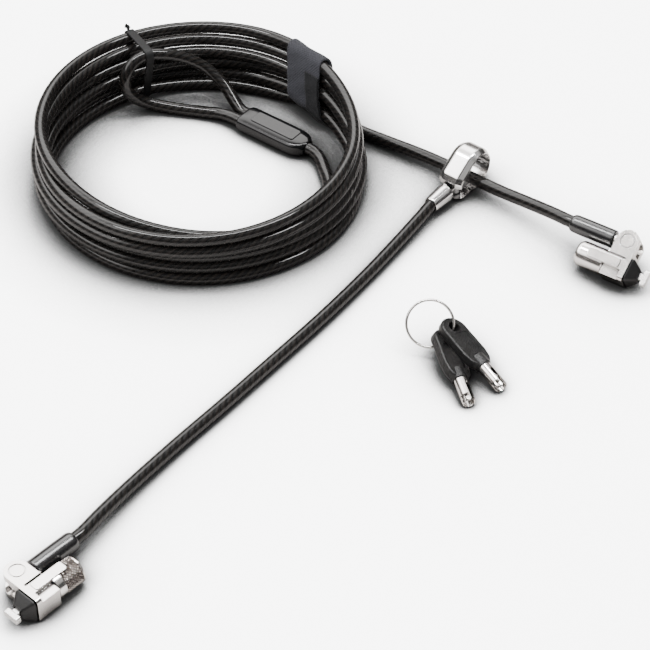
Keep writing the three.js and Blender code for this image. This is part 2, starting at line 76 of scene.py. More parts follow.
# Node materials -----------------------------------------------------------------------------
class Nodes:
    """Builds one node tree: a material's, or the world's."""

    def __init__(self, name, collection=bpy.data.materials, shader="Principled BSDF"):
        self.material = collection.new(name)
        self.material.use_nodes = True
        self.tree = self.material.node_tree
        self.shader = self.tree.nodes[shader]

    def set(self, **values):
        for key, value in values.items():
            self.shader.inputs[key.replace("_", " ")].default_value = value

    def add(self, kind, values=(), **settings):
        node = self.tree.nodes.new(kind)
        for key, value in dict(values).items():
            node.inputs[key].default_value = value
        for key, value in settings.items():
            setattr(node, key, value)
        return node

    def link(self, source, target):
        self.tree.links.new(source, target)

    def math(self, operation, a, b=None):
        node = self.add("ShaderNodeMath", operation=operation)
        for slot, value in zip(node.inputs, (a, b)):
            if value is None:
                continue
            if isinstance(value, (int, float)):
                slot.default_value = value
            else:
                self.link(value, slot)
        return node.outputs[0]

    def coordinates(self):
        return self.add("ShaderNodeTexCoord").outputs["Object"]

    def noise(self, scale, detail=3.0, roughness=0.5, vector=None):
        node = self.add("ShaderNodeTexNoise", {"Scale": scale, "Detail": detail, "Roughness": roughness})
        self.link(vector or self.coordinates(), node.inputs["Vector"])
        return node.outputs["Fac"]

    def ramp(self, factor, stops):
        node = self.add("ShaderNodeValToRGB")
        elements = node.color_ramp.elements
        while len(elements) < len(stops):
            elements.new(0.5)
        for element, (place, colour) in zip(elements, stops):
            element.position = place
            element.color = (*colour, 1.0)
        self.link(factor, node.inputs["Fac"])
        return node.outputs["Color"]

    def mix(self, factor, first, second):
        node = self.add("ShaderNodeMixRGB")
        for slot, source in zip(node.inputs, (factor, first, second)):
            self.link(source, slot)
        return node.outputs[0]

    def seen_in_gloss(self):
        return self.add("ShaderNodeLightPath").outputs["Is Glossy Ray"]

    def spread(self, factor, low, high, start=0.0, end=1.0):
        node = self.add("ShaderNodeMapRange",
                        {"From Min": start, "From Max": end, "To Min": low, "To Max": high})
        self.link(factor, node.inputs["Value"])
        return node.outputs["Result"]

    def multiply(self, first, second):
        node = self.add("ShaderNodeMixRGB", {0: 1.0}, blend_type="MULTIPLY")
        self.link(first, node.inputs[1])
        self.link(second, node.inputs[2])
        return node.outputs[0]

    def painted_occlusion_shade(self, colour, reach, stops):
        """The colour with painted shade: darkened where nearby surfaces close in on it."""
        closed = self.add("ShaderNodeAmbientOcclusion", {"Distance": reach}, samples=8)
        tones = [(openness, (tone,) * 3) for openness, tone in stops]
        return self.multiply(colour, self.ramp(closed.outputs["AO"], tones))

    def bump(self, height, distance, strength=1.0, before=None):
        node = self.add("ShaderNodeBump", {"Distance": distance, "Strength": strength})
        self.link(height, node.inputs["Height"])
        if before is not None:
            self.link(before, node.inputs["Normal"])
        self.link(node.outputs["Normal"], self.shader.inputs["Normal"])
        return node.outputs["Normal"]


STRANDS = 6
STRAND_PITCH = 0.0034
WIRE_PITCH = 0.0016
# How much of the surface relief comes from the strands, and how much from the wires in them
STRAND_SHARE, WIRE_SHARE = 0.72, 0.28


def cable_material():
    """Steel strands under a smooth clear coat. The UV map's u runs round, v along in metres."""
    m = Nodes("coated_cable")
    split = m.add("ShaderNodeSeparateXYZ")
    m.link(m.add("ShaderNodeTexCoord").outputs["UV"], split.inputs[0])
    round_it, along = split.outputs[0], split.outputs[1]
    turn = m.math("MULTIPLY", round_it, float(STRANDS))
    strand = m.math("FRACT", m.math("ADD", turn, m.math("MULTIPLY", along, 1 / STRAND_PITCH)))
    crown = m.math("SINE", m.math("MULTIPLY", strand, math.pi))
    wires = m.math("SUBTRACT", m.math("MULTIPLY", round_it, STRANDS * 3.0),
                   m.math("MULTIPLY", along, 1 / WIRE_PITCH))
    wire = m.math("SINE", m.math("MULTIPLY", m.math("FRACT", wires), math.pi))
    lay = m.math("ADD", m.math("MULTIPLY", crown, STRAND_SHARE),
                 m.math("MULTIPLY", m.math("MULTIPLY", wire, crown), WIRE_SHARE))
    grime = m.noise(90.0, 4.0)
    tone = m.math("MULTIPLY", lay, m.spread(grime, 0.55, 1.25))
    colour = m.ramp(tone, [(0.0, (0.0004, 0.0004, 0.0004)), (0.55, (0.0011, 0.0009, 0.0008)),
                           (0.85, (0.0036, 0.0029, 0.0025)), (1.0, (0.0066, 0.0052, 0.0044))])
    m.link(colour, m.shader.inputs["Base Color"])
    m.link(m.spread(lay, 0.55, 0.36), m.shader.inputs["Roughness"])
    m.bump(lay, 0.0003, 0.6)
    m.set(Coat_Weight=1.0, Coat_Roughness=0.07, Coat_IOR=1.33, Specular_IOR_Level=0.08)
    return m.material


# Tone against openness, and the reach in metres: painted shade, metal darkens where it faces metal
CREVICE_SHADE_TONES = [(0.0, 0.02), (0.3, 0.12), (0.55, 0.6), (0.8, 1.0)]
CREVICE_SHADE_REACH = 0.0035
# Painted shade against the depth of a cut, stored on the mesh as the attribute "cut": deep knurl grooves
# are darker
CUT_SHADE_TONES = [(0.0, (1.0, 1.0, 1.0)), (0.35, (0.5, 0.47, 0.45)), (1.0, (0.1, 0.085, 0.08))]


def metal_material(name, colour, roughness, spread, scratch):
    """Plated or bare metal with faint handling marks, a slightly uneven polish and painted shade in
    crevices and knurl cuts.
    """
    m = Nodes(name)
    cloud = m.noise(140.0, 3.0)
    fine = m.noise(2600.0, 2.0)
    dull = tuple(c * 0.9 for c in colour)
    # Painted shade: the colour darkens in crevices, where metal faces metal
    tint = m.painted_occlusion_shade(m.ramp(cloud, [(0.3, dull), (0.65, colour)]), CREVICE_SHADE_REACH, CREVICE_SHADE_TONES)
    # Painted shade: the colour darkens with the depth of a knurl cut
    cut = m.add("ShaderNodeAttribute", attribute_name="cut")
    m.link(m.multiply(tint, m.ramp(cut.outputs["Fac"], CUT_SHADE_TONES)), m.shader.inputs["Base Color"])
    m.link(m.spread(cloud, roughness - spread / 2, roughness + spread), m.shader.inputs["Roughness"])
    m.bump(fine, 0.00001, scratch)
    m.set(Metallic=1.0)
    return m.material


def brushed_material(name, colour, roughness):
    """Bare metal with a fine grain drawn out along one axis."""
    m = Nodes(name)
    stretch = m.add("ShaderNodeMapping", {"Scale": (1.0, 1.0, 14.0)})
    m.link(m.coordinates(), stretch.inputs["Vector"])
    grain = m.noise(900.0, 3.0, 0.6, stretch.outputs["Vector"])
    dull = tuple(c * 0.82 for c in colour)
    m.link(m.ramp(grain, [(0.25, dull), (0.75, colour)]), m.shader.inputs["Base Color"])
    m.link(m.spread(grain, roughness - 0.08, roughness + 0.1), m.shader.inputs["Roughness"])
    m.bump(grain, 0.00001, 0.2)
    m.set(Metallic=1.0)
    return m.material


def gloss_material(name, colour, coat_index, coat_roughness):
    """Polished plastic moulding."""
    m = Nodes(name)
    pale = tuple(c * 1.7 for c in colour)
    m.link(m.ramp(m.noise(60.0, 3.0), [(0.3, colour), (0.8, pale)]), m.shader.inputs["Base Color"])
    m.link(m.spread(m.noise(420.0, 3.0), 0.1, 0.24), m.shader.inputs["Roughness"])
    m.bump(m.noise(1500.0, 2.0), 0.00001, 0.25)
    m.set(Coat_Weight=1.0, Coat_Roughness=coat_roughness, Coat_IOR=coat_index,
          Specular_IOR_Level=0.1)
    return m.material


def grained_material(name, colour, grain_scale, depth, roughness):
    """Moulded plastic with spark-eroded grain."""
    m = Nodes(name)
    cloud = m.noise(220.0, 4.0)
    cell = m.add("ShaderNodeTexVoronoi", {"Scale": grain_scale})
    m.link(m.coordinates(), cell.inputs["Vector"])
    dark, pale = (tuple(c * share for c in colour) for share in (0.7, 1.35))
    m.link(m.ramp(cloud, [(0.3, dark), (0.7, pale)]), m.shader.inputs["Base Color"])
    m.link(m.spread(cloud, roughness - 0.08, roughness + 0.12), m.shader.inputs["Roughness"])
    first = m.bump(cell.outputs["Distance"], depth, 0.7)
    m.bump(m.noise(grain_scale * 2.6, 3.0), depth * 0.7, 0.6, first)
    m.set(Specular_IOR_Level=0.3)
    return m.material


def fabric_material(name, light, dark, pitch):
    """Plain weave, drawn from the UV map, which is in metres along and across the strap."""
    m = Nodes(name)
    split = m.add("ShaderNodeSeparateXYZ")
    m.link(m.add("ShaderNodeTexCoord").outputs["UV"], split.inputs[0])
    warp = m.math("SINE", m.math("MULTIPLY", split.outputs[0], TAU / pitch))
    weft = m.math("SINE", m.math("MULTIPLY", split.outputs[1], TAU / pitch))
    weave = m.math("MULTIPLY", warp, weft)
    fuzz = m.noise(1800.0, 3.0, 0.7)
    mix = m.math("ADD", m.math("MULTIPLY", weave, 0.3), m.math("MULTIPLY", fuzz, 0.9))
    m.link(m.ramp(mix, [(0.1, dark), (0.8, light)]), m.shader.inputs["Base Color"])
    first = m.bump(weave, 0.00012, 0.8)
    m.bump(fuzz, 0.00012, 0.6, first)
    m.set(Roughness=0.85, Sheen_Weight=0.02, Sheen_Roughness=0.5, Specular_IOR_Level=0.15)
    return m.material


CABLE = cable_material()
NICKEL = metal_material("nickel_plate", (0.84, 0.81, 0.785), 0.17, 0.06, 0.06)
CHROME = metal_material("chrome_plate", (0.88, 0.865, 0.855), 0.17, 0.04, 0.05)
STEEL = brushed_material("bare_steel", (0.8, 0.79, 0.77), 0.26)
ALUMINIUM = brushed_material("swaged_aluminium", (0.78, 0.78, 0.79), 0.4)
BOOT_GLOSS = gloss_material("boot_gloss", (0.001, 0.001, 0.0011), 1.62, 0.26)
GLOSS = gloss_material("black_gloss", (0.0009, 0.0009, 0.001), 1.26, 0.1)
GUARD = grained_material("guard_plastic", (0.0012, 0.0011, 0.0011), 1700.0, 0.00004, 0.42)
KEY_PLASTIC = grained_material("key_plastic", (0.0019, 0.0018, 0.0018), 1500.0, 0.0002, 0.33)
TIE_PLASTIC = grained_material("tie_plastic", (0.0007, 0.0007, 0.0008), 1500.0, 0.00003, 0.6)
STRAP_LIGHT = fabric_material("strap_fabric_face", (0.016, 0.016, 0.0195),
                              (0.0045, 0.0045, 0.0055), 0.0011)
# Painted shade: the flap's fabric is a darker copy of the face's, for the overlapping end
STRAP_SHADED = fabric_material("strap_fabric_flap_shaded", (0.004, 0.004, 0.0047),
                             (0.0012, 0.0012, 0.0014), 0.0007)


# Mesh helpers -------------------------------------------------------------------------------
# Where each unfinished piece goes: its local frame, whose points are millimetres until settle()
PLACES = {}
# Edges sharper than this many degrees stay sharp on a softened piece
SHARP = 42.0
# Points closer than this many millimetres are merged before an edge is rounded
CLOSE = 0.03


def piece(name, points, faces, material, place=None):
    """A mesh object. With a place, its points are millimetres in that frame until settle()."""
    mesh = bpy.data.meshes.new(name)
    mesh.from_pydata([tuple(p) for p in points], [], faces)
    mesh.materials.append(material)
    obj = bpy.data.objects.new(name, mesh)
    bpy.context.scene.collection.objects.link(obj)
    if place is not None:
        PLACES[obj.name] = place.copy()
    return obj


def settle(obj):
    """Takes a finished piece from its local millimetres to the row frame, in metres."""
    if obj.name in PLACES:
        place = PLACES.pop(obj.name)
        place.translation /= MM
        obj.data.transform(place)
        modified(obj, "WEIGHTED_NORMAL", keep_sharp=True, weight=80)
        obj.data.transform(Matrix.Scale(MM, 4))
    return obj


def mount(obj, body, slot, *nodes):
    """Puts a finished piece on its body, in place of the CAD nodes."""
    settle(obj)
    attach(obj, body)
    if nodes:
        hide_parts(*nodes)
    return obj


def outward(obj, close=1e-4):
    """Merges doubled points, drops faces without area and turns every face outward."""
    shell = bmesh.new()
    shell.from_mesh(obj.data)
    bmesh.ops.remove_doubles(shell, verts=shell.verts, dist=close)
    bmesh.ops.dissolve_degenerate(shell, dist=close, edges=shell.edges)
    bmesh.ops.recalc_face_normals(shell, faces=shell.faces)
    shell.to_mesh(obj.data)
    shell.free()
    return obj


def modified(obj, kind, **settings):
    """Applies one modifier to a piece."""
    modifier = obj.modifiers.new("shape", kind)
    for key, value in settings.items():
        setattr(modifier, key, value)
    graph = bpy.context.evaluated_depsgraph_get()
    mesh = bpy.data.meshes.new_from_object(obj.evaluated_get(graph))
    obj.modifiers.clear()
    obj.data = mesh
    return obj


def boolean(obj, other, operation="DIFFERENCE"):
    own, theirs = PLACES[obj.name], PLACES.pop(other.name)
    if own != theirs:
        shift = own.inverted() @ theirs
        shift.translation /= MM
        other.data.transform(shift)
    modified(obj, "BOOLEAN", operation=operation, solver="EXACT", object=other)
    bpy.data.objects.remove(other)
    return obj


def carve(obj, outline, low, high, plane="XY", operation="DIFFERENCE"):
    """Cuts a prism out of a piece, or joins it on, in the piece's own frame."""
    tool = prism("tool", outline, low, high, obj.data.materials[0], PLACES[obj.name], plane)
    return boolean(obj, tool, operation)


def carve_box(obj, x, y, z):
    carve(obj, [(x[0], y[0]), (x[1], y[0]), (x[1], y[1]), (x[0], y[1])], *z)


def soften(obj, width, segments=2, angle=30.0):
    """Rounds the sharp edges and shades the rest smooth. Width is in millimetres."""
    outward(obj, CLOSE)
    modified(obj, "BEVEL", width=width, segments=segments, limit_method="ANGLE",
             angle_limit=math.radians(angle))
    return shade(outward(obj), SHARP)


def shade(obj, angle):
    """Smooth shading, but for edges sharper than the angle in degrees."""
    for polygon in obj.data.polygons:
        polygon.use_smooth = True
    obj.data.set_sharp_from_angle(angle=math.radians(angle))
    return obj


def prism(name, outline, low, high, material, place, plane="XY"):
    """An outline extruded from low to high: plane XY goes up Z, plane YZ goes along X."""
    def lift(a, b, height):
        return (a, b, height) if plane == "XY" else (height, a, b)

    rings = [[lift(*p, height) for p in outline] for height in (low, high)]
    return stacked(name, rings, material, place)


def stacked(name, rings, material, place):
    """A body skinned over rings of equally many points, closed at both ends."""
    count = len(rings[0])
    faces = []
    for i in range(len(rings) - 1):
        for k in range(count):
            j = (k + 1) % count
            faces.append([i * count + k, i * count + j, (i + 1) * count + j, (i + 1) * count + k])
    last = (len(rings) - 1) * count
    faces += [list(range(count))[::-1], list(range(last, last + count))]
    return outward(piece(name, [p for ring in rings for p in ring], faces, material, place))


def arc(cx, cy, radius, start, end, steps):
    """Points of an arc, angles in degrees."""
    return [(cx + radius * math.cos(math.radians(start + (end - start) * i / steps)),
             cy + radius * math.sin(math.radians(start + (end - start) * i / steps)))
            for i in range(steps + 1)]


def circle(radius, sides):
    return [(radius * math.cos(TAU * i / sides), radius * math.sin(TAU * i / sides))
            for i in range(sides)]


def rounded(x0, x1, y0, y1, radius, steps=6):
    """A rectangle with rounded corners."""
    return (arc(x1 - radius, y0 + radius, radius, -90, 0, steps)
            + arc(x1 - radius, y1 - radius, radius, 0, 90, steps)
            + arc(x0 + radius, y1 - radius, radius, 90, 180, steps)
            + arc(x0 + radius, y0 + radius, radius, 180, 270, steps))


def turned(name, profile, material, place, sides, height=None):
    """A body turned about local X from [x, radius] points. height(x, angle) adds relief to it."""
    points, faces, rings = [], [], []
    for x, radius in profile:
        if radius < 1e-6:
            rings.append([len(points)] * sides)
            points.append((x, 0.0, 0.0))
            continue
        rings.append(list(range(len(points), len(points) + sides)))
        for i in range(sides):
            angle = TAU * i / sides
            r = radius if height is None else radius + height(x, angle)
            points.append((x, r * math.cos(angle), r * math.sin(angle)))
    for a, b in zip(rings, rings[1:]):
        for i in range(sides):
            j = (i + 1) % sides
            face = list(dict.fromkeys([a[i], a[j], b[j], b[i]]))
            if len(face) > 2:
                faces.append(face)
    return outward(piece(name, points, faces, material, place))


def swept(name, path, section, material):
    """A closed section of (side, out) points in mm swept along a path in metres, with end caps."""
    path = [Vector(p) for p in path]
    count, ring = len(path), len(section)
    side = None
    points, lengths, travelled = [], [], 0.0
    for i, p in enumerate(path):
        tangent = (path[min(i + 1, count - 1)] - path[max(i - 1, 0)]).normalized()
        if side is None:
            side = tangent.orthogonal()
        else:
            travelled += (p - path[i - 1]).length
        side = (side - tangent * side.dot(tangent)).normalized()
        out = tangent.cross(side)
        lengths.append(travelled)
        points += [p + side * a * MM + out * b * MM for a, b in section]
    faces, coords = [], []
    rounds = np.cumsum([0] + [math.dist(section[i], section[(i + 1) % ring]) for i in range(ring)])
    for i in range(count - 1):
        near, far = lengths[i], lengths[i + 1]
        for k in range(ring):
            j = (k + 1) % ring
            faces.append([i * ring + k, i * ring + j, (i + 1) * ring + j, (i + 1) * ring + k])
            coords += [(rounds[k], near), (rounds[k + 1], near), (rounds[k + 1], far), (rounds[k], far)]
    for first, order in ((0, -1), ((count - 1) * ring, 1)):
        faces.append(list(range(first, first + ring))[::order])
        coords += [(0.0, lengths[first // ring])] * ring
    obj = piece(name, points, faces, material)
    layer = obj.data.uv_layers.new(name="along")
    for loop, (u, v) in zip(layer.data, coords):
        loop.uv = (u, v)
    return obj, rounds[-1]


def spline(points, step):
    """A smooth curve through points, sampled about every step."""
    points = [Vector(p) for p in points]
    ends = [points[0] * 2 - points[1]] + points + [points[-1] * 2 - points[-2]]
    made = [points[0]]
    for p0, p1, p2, p3 in zip(ends, ends[1:], ends[2:], ends[3:]):
        t1 = max((p1 - p0).length, 1e-9) ** 0.5
        t2 = t1 + max((p2 - p1).length, 1e-9) ** 0.5
        t3 = t2 + max((p3 - p2).length, 1e-9) ** 0.5
        pieces = max(1, round((p2 - p1).length / step))
        for i in range(1, pieces + 1):
            t = t1 + (t2 - t1) * i / pieces
            middle = p1.lerp(p2, (t - t1) / (t2 - t1))
            before = p0.lerp(p1, t / t1).lerp(middle, t / t2)
            after = middle.lerp(p2.lerp(p3, (t - t2) / (t3 - t2)), (t - t1) / (t3 - t1))
            made.append(before.lerp(after, (t - t1) / (t2 - t1)))
    return made


# The cables ---------------------------------------------------------------------------------
CABLE_R = 2.5
CABLE_SIDES = 20
ROUTE_STEP = 2.2
COIL_X, COIL_Y = -49.0, 89.5
# Where the strap and the tie stand round the coil, in degrees, how wide a stretch of the turns
# they lift off the floor, in degrees, and by how much
STRAP_ANGLE = 43.7
TIE_ANGLE = 117.8
WRAP_REACH = 11
WRAP_LIFT = 1.1

# The coil's turns from the run at the bottom, anticlockwise and upwards: angle, radius and height
COIL_KEYS = [
    (20, 68.9, 2.6), (25.3, 65.2, 2.5), (31, 62.2, 2.5), (55, 57.6, 2.5), (90, 56.8, 2.5),
    (180, 62.8, 2.5),
    (270, 66.1, 2.5), (340, 64.3, 2.5), (385, 58.6, 5.4), (415, 58.6, 7.3),
    (450, 59.7, 6.6), (540, 65.0, 6.9), (630, 65.3, 7.4), (700, 64.2, 7.4), (745, 61.6, 9.3),
    (775, 61.0, 11.6),
    (810, 60.1, 11.5), (900, 62.9, 11.4), (990, 65.0, 12.3), (1060, 63.6, 12.3), (1105, 59.2, 13.6),
    (1135, 59.6, 16.3),
    (1170, 60.5, 16.4), (1260, 65.2, 15.8), (1350, 67.3, 16.7), (1420, 62.8, 17.1), (1465, 61.2, 18.2),
    (1495, 62.3, 20.3),
    (1530, 63.6, 20.2), (1620, 63.2, 20.4), (1710, 66.6, 21.6), (1780, 61.2, 21.8), (1825, 60.5, 23.2),
    (1855, 63.6, 24.8),
    (1890, 67.3, 23.7), (1980, 63.6, 25.3), (2025, 61.2, 23.9), (2070, 61.9, 19.9), (2100, 59.6, 14.2),
    (2120, 57.4, 8.0), (2135, 54.8, 3.9), (2143, 52.7, 2.7),
]
COIL_STEP = 2.5
# Least distance between the centrelines of two turns, and how the relaxation works towards it
TOUCH = 5.06
RELAX_ROUNDS = 120
RELAX_SMOOTH = 0.2
RELAX_HOME = 0.015


def coil_route():
    """The turns, pressed apart until they just touch and lifted where a wrap passes under."""
    keys = np.array(COIL_KEYS, float)
    angles = np.arange(keys[0, 0], keys[-1, 0] + 0.01, COIL_STEP)
    slopes = np.gradient(keys[:, 1:], keys[:, 0], axis=0)
    spot = np.clip(np.searchsorted(keys[:, 0], angles, side="right") - 1, 0, len(keys) - 2)
    span = keys[spot + 1, 0] - keys[spot, 0]
    t = ((angles - keys[spot, 0]) / span)[:, None]
    span = span[:, None]
    place = ((2 * t**3 - 3 * t**2 + 1) * keys[spot, 1:] + (t**3 - 2 * t**2 + t) * span * slopes[spot]
             + (3 * t**2 - 2 * t**3) * keys[spot + 1, 1:] + (t**3 - t**2) * span * slopes[spot + 1])
    wraps = sum(np.exp(-(((angles - a + 180) % 360 - 180) / WRAP_REACH) ** 2)
                for a in (STRAP_ANGLE, TIE_ANGLE))
    floor = CABLE_R + 0.05 + WRAP_LIFT * wraps
    turn = round(360 / COIL_STEP)
    wanted = place.copy()
    for _ in range(RELAX_ROUNDS):
        push = np.zeros_like(place)
        for apart in range(turn, len(place), turn):
            gap = place[apart:] - place[:-apart]
            far = np.linalg.norm(gap, axis=1)
            short = np.clip(TOUCH - far, 0, None) / np.maximum(far, 1e-6) * 0.5
            push[apart:] += gap * short[:, None]
            push[:-apart] -= gap * short[:, None]
        place += push
        smooth = place.copy()
        smooth[1:-1] = (place[1:-1] * (1 - 2 * RELAX_SMOOTH)
                        + (place[:-2] + place[2:]) * RELAX_SMOOTH)
        place = smooth * (1 - RELAX_HOME) + wanted * RELAX_HOME
        place[:, 1] = np.maximum(place[:, 1], floor)
        place[:4], place[-6:] = wanted[:4], wanted[-6:]
    return angles, place


def coil_point(angle, radius, height):
    turn = math.radians(angle)
    return Vector((COIL_X + radius * math.cos(turn), COIL_Y + radius * math.sin(turn), height))


COIL_ANGLES, COIL_PLACES = coil_route()

EYE_LOOP_ROUTE = [
    (-29.5, 115, 3.7), (-34.87, 119.12, 3.7), (-37.65, 121.25, 3.7), (-43, 124.6, 3.2),
    (-50, 126.6, 2.6),
    (-62, 128.9, 2.7), (-72, 130.4, 4), (-78, 129.4, 7.4), (-81.6, 127.6, 13.2), (-81.8, 128, 19.4),
    (-78.4, 131.3, 24.2), (-73, 134.6, 25.7), (-65, 136.9, 24.4), (-56.5, 139.1, 20.4),
    (-48.7, 139.6, 15),
    (-41.8, 135.6, 9.6), (-37.3, 129.6, 5.6), (-34.3, 125.65, 3.75), (-31.5, 123.5, 3.7),
    (-26.1, 119.3, 3.7),
]
EYE_LEAD_ROUTE = [
    (-16.5, 108.5, 3.7), (-7, 101.2, 3.7), (-4.4, 99.1, 3.6), (-2, 95.2, 3.1), (-0.2, 88.3, 2.6),
    (1.2, 81.5, 2.6),
]
MAIN_RUN_ROUTE = [
    (26.8, 105.3, 3.3), (38.4, 96.6, 4.5), (46.5, 90.2, 5.1), (55, 82.8, 5.7), (67.9, 71.1, 6.9),
    (79.3, 60.8, 8.9), (88.2, 52, 11), (93.5, 46.9, 11.8), (96.9, 44.3, 11.95), (104.2, 39.45, 11.95),
]
BRANCH_ROUTE = [
    (44.3, 67.8, 4.4), (41.5, 64.2, 4.4), (37.9, 58.4, 4.1), (27.7, 43, 3), (15.7, 24.9, 2.6),
    (-0.9, 1.4, 2.6),
    (-19.5, -22.9, 2.6), (-36.3, -44.6, 2.6), (-52.8, -65.4, 2.7), (-68.6, -87.2, 3.6),
    (-77.3, -101, 4.9),
    (-82.2, -109, 5.3), (-85.9, -113.2, 5.3), (-91.8, -119.55, 5.3),
]


def cable(name, route, body, *nodes):
    """A cable along layout points, as a smooth tube. Returns the object and its centreline in metres."""
    path = [at(*p) for p in spline(route, ROUTE_STEP)]
    obj, girth = swept(name, path, circle(CABLE_R, CABLE_SIDES), CABLE)
    for loop in obj.data.uv_layers[0].data:
        loop.uv = (loop.uv[0] / girth, loop.uv[1])
    return mount(shade(obj, 60.0), body, "coated_cable", *nodes), path


coil_points = [coil_point(a, *p) for a, p in zip(COIL_ANGLES[::2], COIL_PLACES[::2])]
main_route = ([Vector(p) for p in EYE_LOOP_ROUTE + EYE_LEAD_ROUTE] + coil_points[::-1]
              + [Vector(p) for p in MAIN_RUN_ROUTE])
main_cable, main_path = cable("main_cable", main_route, "main_cable",
                              "main_cable_coil", "main_cable_run", "eye_lead", "eye_loop")
branch_cable, branch_path = cable("branch_cable_run", BRANCH_ROUTE, "branch", "branch_cable")


# Wraps round the coil -----------------------------------------------------------------------
def hull_loop(circles, radius, samples=28):
    """The tight line round a set of circles in a plane, as evenly spaced points."""
    cloud = [Vector((x + radius * math.cos(TAU * i / samples), z + radius * math.sin(TAU * i / samples)))
             for x, z in circles for i in range(samples)]
    ring = [cloud[i] for i in convex_hull_2d(cloud)]
    ring.append(ring[0])
    total = sum((b - a).length for a, b in zip(ring, ring[1:]))
    count = max(40, round(total / 0.9))
    marks, made, walked = [total * i / count for i in range(count)], [], 0.0
    for a, b in zip(ring, ring[1:]):
        length = (b - a).length
        while marks and marks[0] <= walked + length:
            made.append(a.lerp(b, (marks.pop(0) - walked) / max(length, 1e-9)))
        walked += length
    return made


def stack_at(angle):
    """Radius and height of each turn where it passes an angle."""
    return [tuple(place) for a, place in zip(COIL_ANGLES, COIL_PLACES)
            if abs((a - angle + 180) % 360 - 180) < COIL_STEP / 2]


# The lean of the wraps is measured from this height, in millimetres
LEAN_HEIGHT = 13.0
BAND_COLUMNS = 14


def band(name, angle, circles, radius, across, thickness, material, lean=0.0,
         portion=(0.0, 1.0), wave=None):
    """A flat band round the circles, standing across the coil at an angle. across is (from, to)."""
    turn = math.radians(angle)
    axis = Vector((math.cos(turn), math.sin(turn), 0))
    tangent = Vector((-math.sin(turn), math.cos(turn), 0))
    loop = hull_loop(circles, radius + thickness / 2)
    middle = sum(c[0] for c in circles) / len(circles)
    bottom = min(range(len(loop)), key=lambda i: (loop[i].y > 2.2, abs(loop[i].x - middle)))
    loop = loop[bottom:] + loop[:bottom]
    loop = [Vector((p.x, max(p.y, thickness / 2 + 0.02))) for p in loop]
    first, last = (round(share * (len(loop) - 1)) for share in portion)
    loop = loop[first:last + 1]
    centre = sum(loop, Vector((0, 0))) / len(loop)
    marks = [across[0] + (across[1] - across[0]) * k / BAND_COLUMNS for k in range(BAND_COLUMNS + 1)]
    points, faces, walked = [], [], 0.0
    for i, p in enumerate(loop):
        if i:
            walked += (p - loop[i - 1]).length
        way = (loop[min(i + 1, len(loop) - 1)] - loop[max(i - 1, 0)]).normalized()
        normal = Vector((way.y, -way.x))
        if normal.dot(p - centre) < 0:
            normal = -normal
        for t in marks:
            q = p + normal * (wave(walked, t) if wave else 0.0)
            aside = t + lean * (q.y - LEAN_HEIGHT)
            points.append(at(*(Vector((COIL_X, COIL_Y, q.y)) + axis * q.x + tangent * aside)))
    width = BAND_COLUMNS + 1
    for i in range(len(loop) - 1):
        for k in range(BAND_COLUMNS):
            faces.append([i * width + k, i * width + k + 1, (i + 1) * width + k + 1, (i + 1) * width + k])
    obj = piece(name, points, faces, material)
    layer = obj.data.uv_layers.new(name="cloth")
    for loop_corner, uv in zip(obj.data.loops, layer.data):
        row, column = divmod(loop_corner.vertex_index, width)
        uv.uv = (marks[column] * MM, row * walked * MM / max(len(loop) - 1, 1))
    modified(obj, "SOLIDIFY", thickness=thickness * MM, offset=0.0)
    modified(obj, "BEVEL", width=thickness * 0.35 * MM, segments=2, limit_method="ANGLE",
             angle_limit=math.radians(50))
    return shade(obj, 50.0)


STRAP_HALF = 9.4
STRAP_LEAN = 0.3


def make_strap():
    """The strap's band, and the end that overlaps it on the coil's inside, in a darker copy of its fabric
    as painted shade.
    """
    circles = stack_at(STRAP_ANGLE)
    random.seed(7)
    phase = [random.random() * TAU for _ in range(2)]

    def ripple(walked, t):
        return (0.22 * math.sin(walked * 0.31 + t * 0.2 + phase[0])
                + 0.12 * math.sin(walked * 0.83 - t * 0.5 + phase[1]))

    strap = band("strap_band", STRAP_ANGLE, circles, CABLE_R + 0.2, (-STRAP_HALF, STRAP_HALF), 1.0,
                 STRAP_LIGHT, lean=STRAP_LEAN, wave=ripple)
    mount(strap, "main_cable", "strap_fabric", "coil_strap")
    # Painted shade: the end is drawn in the darker copy of the strap's fabric
    flap = band("strap_flap", STRAP_ANGLE, circles, CABLE_R + 1.15, (-STRAP_HALF - 0.5, -2.2), 0.9,
                STRAP_SHADED, lean=STRAP_LEAN, portion=(0.63, 0.99), wave=ripple)
    return strap, mount(flap, "main_cable", "strap_fabric")


TIE_HALF = 1.7
TWIST_TURNS = 2.5
TWIST_POINTS = 40
# Where the tie meets the eye loop's upper strand
TIED_STRAND = (-73, 134.6, 25.7)


def make_tie():
    """The tie's band round the coil and the eye's strand, and its twisted end."""
    upper = Vector(TIED_STRAND) - Vector((COIL_X, COIL_Y, 0))
    turn = math.radians(TIE_ANGLE)
    axis = Vector((math.cos(turn), math.sin(turn), 0))
    stack = stack_at(TIE_ANGLE)
    tie = band("tie_band", TIE_ANGLE, stack + [(upper.dot(axis), upper.z)], CABLE_R + 0.1,
               (-TIE_HALF, TIE_HALF), 0.7, TIE_PLASTIC)
    mount(tie, "main_cable", "black_matte_plastic", "twist_tie")
    radius, height = max(stack, key=lambda c: c[1])
    knot = []
    for i in range(TWIST_POINTS):
        share = i / (TWIST_POINTS - 1)
        angle = share * TAU * TWIST_TURNS
        base = Vector((COIL_X, COIL_Y, height + 2.9)) + axis * (radius + 2.2 + 2.0 * share)
        knot.append(at(*(base + Vector((0, 0.45 * math.cos(angle), 0.45 * math.sin(angle))))))
    section = [(0.9, 0.25), (-0.9, 0.25), (-0.9, -0.25), (0.9, -0.25)]
    twist = shade(swept("tie_twist", knot, section, TIE_PLASTIC)[0], 40.0)
    return tie, mount(twist, "main_cable", "black_matte_plastic")


strap, flap = make_strap()
tie, twist = make_tie()


